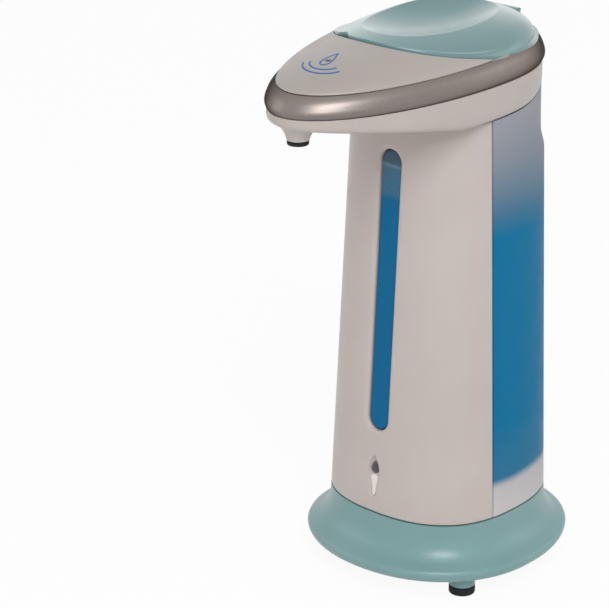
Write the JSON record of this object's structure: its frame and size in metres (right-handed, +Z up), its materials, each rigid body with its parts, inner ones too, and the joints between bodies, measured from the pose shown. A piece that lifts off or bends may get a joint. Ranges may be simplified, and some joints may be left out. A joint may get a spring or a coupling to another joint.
{
  "type": "automatic soap dispenser",
  "caption": "Free-standing sensor soap dispenser: leaf-shaped head with a down-facing nozzle and scooped lid, column with tank and sight slot, flared base on rubber feet.",
  "frame": {"origin": "on the standing plane, under the centre of the bounding box", "axes": "-Y towards the nozzle, +X to the right as seen from the rear, +Z up"},
  "size_m": [0.0894, 0.1286, 0.1988],
  "materials": {
    "white_abs": "satin moulded",
    "pale_teal_abs": "satin moulded",
    "silver_paint": "satin silver paint on plastic",
    "tank_plastic": "translucent",
    "blue_soap": "liquid",
    "tube_plastic": "clear",
    "black_rubber": "matte",
    "dark_lens": "dark window",
    "black_plastic": "moulded",
    "plated_steel": "plated",
    "brass": "turned",
    "nylon": "moulded",
    "circuit_board": "coated",
    "cell_wrap": "wrapped cell"
  },
  "bodies": {
    "dispenser": {"base_plate": "pale_teal_abs", "base_screw_1": "plated_steel", "base_screw_2": "plated_steel", "base_screw_3": "plated_steel", "base_skirt": "pale_teal_abs", "battery_1": "cell_wrap", "battery_2": "cell_wrap", "battery_3": "cell_wrap", "battery_4": "cell_wrap", "bracket_screw_1": "plated_steel", "bracket_screw_2": "plated_steel", "capacitor": "plated_steel", "contact_strip_front": "plated_steel", "contact_strip_rear": "plated_steel", "control_board": "circuit_board", "control_chip": "black_plastic", "dip_tube": "tube_plastic", "filler_tray": "white_abs", "front_casing": "white_abs", "head_lower_shell": "white_abs", "head_screw_1": "plated_steel", "head_screw_2": "plated_steel", "head_top_shell": "white_abs", "hinge_pin": "plated_steel", "ir_emitter": "dark_lens", "ir_receiver": "dark_lens", "motor_bracket": "white_abs", "motor_can": "plated_steel", "motor_leads": "black_rubber", "neck_gasket": "black_rubber", "nozzle_tip": "black_rubber", "outlet_tube": "tube_plastic", "pump_body": "white_abs", "pump_cover": "white_abs", "pump_screw_1": "plated_steel", "pump_screw_2": "plated_steel", "rubber_foot_1": "black_rubber", "rubber_foot_2": "black_rubber", "rubber_foot_3": "black_rubber", "sensor_board": "circuit_board", "sensor_window": "dark_lens", "soap_fill": "blue_soap", "soap_tank": "tank_plastic", "status_light": "dark_lens", "suction_hose": "tube_plastic", "switch_housing": "black_plastic", "trim_band": "silver_paint"},
    "lid": {"fill_lid": "pale_teal_abs"},
    "battery_cover": {"battery_door": "pale_teal_abs"},
    "switch": {"switch_knob": "black_plastic"},
    "rotor": {"motor_pinion": "brass"},
    "drive": {"reduction_gear": "nylon", "pump_drive_gear": "nylon"},
    "idle": {"pump_idle_gear": "nylon"}
  },
  "joints": [
    {"name": "lid_hinge", "type": "hinge", "parent": "dispenser", "child": "lid", "pos_m": [0, 0.04571, 0.19308], "axis": [-1, 0, 0], "range_deg": [0, 95]},
    {"name": "battery_cover_hinge", "type": "hinge", "parent": "dispenser", "child": "battery_cover", "pos_m": [0, 0.04256, 0.0082], "axis": [-1, 0, 0], "range_deg": [-90, 0]},
    {"name": "power_switch_slide", "type": "slide", "parent": "dispenser", "child": "switch", "axis": [0, 1, 0], "range_m": [0, 0.003]},
    {"name": "pump_drive_spin", "type": "hinge", "parent": "dispenser", "child": "drive", "pos_m": [0.00561, -0.02949, 0.18248], "axis": [0, -1, 0], "continuous": true},
    {"name": "motor_spin", "type": "hinge", "parent": "dispenser", "child": "rotor", "pos_m": [-0.004, -0.02389, 0.178], "axis": [0, -1, 0], "continuous": true},
    {"name": "pump_idle_spin", "type": "hinge", "parent": "dispenser", "child": "idle", "pos_m": [-0.00349, -0.03219, 0.18248], "axis": [0, -1, 0], "continuous": true}
  ],
  "couplings": [
    {"joint": "motor_spin", "follows": "pump_drive_spin", "ratio": -2.5},
    {"joint": "pump_idle_spin", "follows": "pump_drive_spin", "ratio": -1}
  ]
}
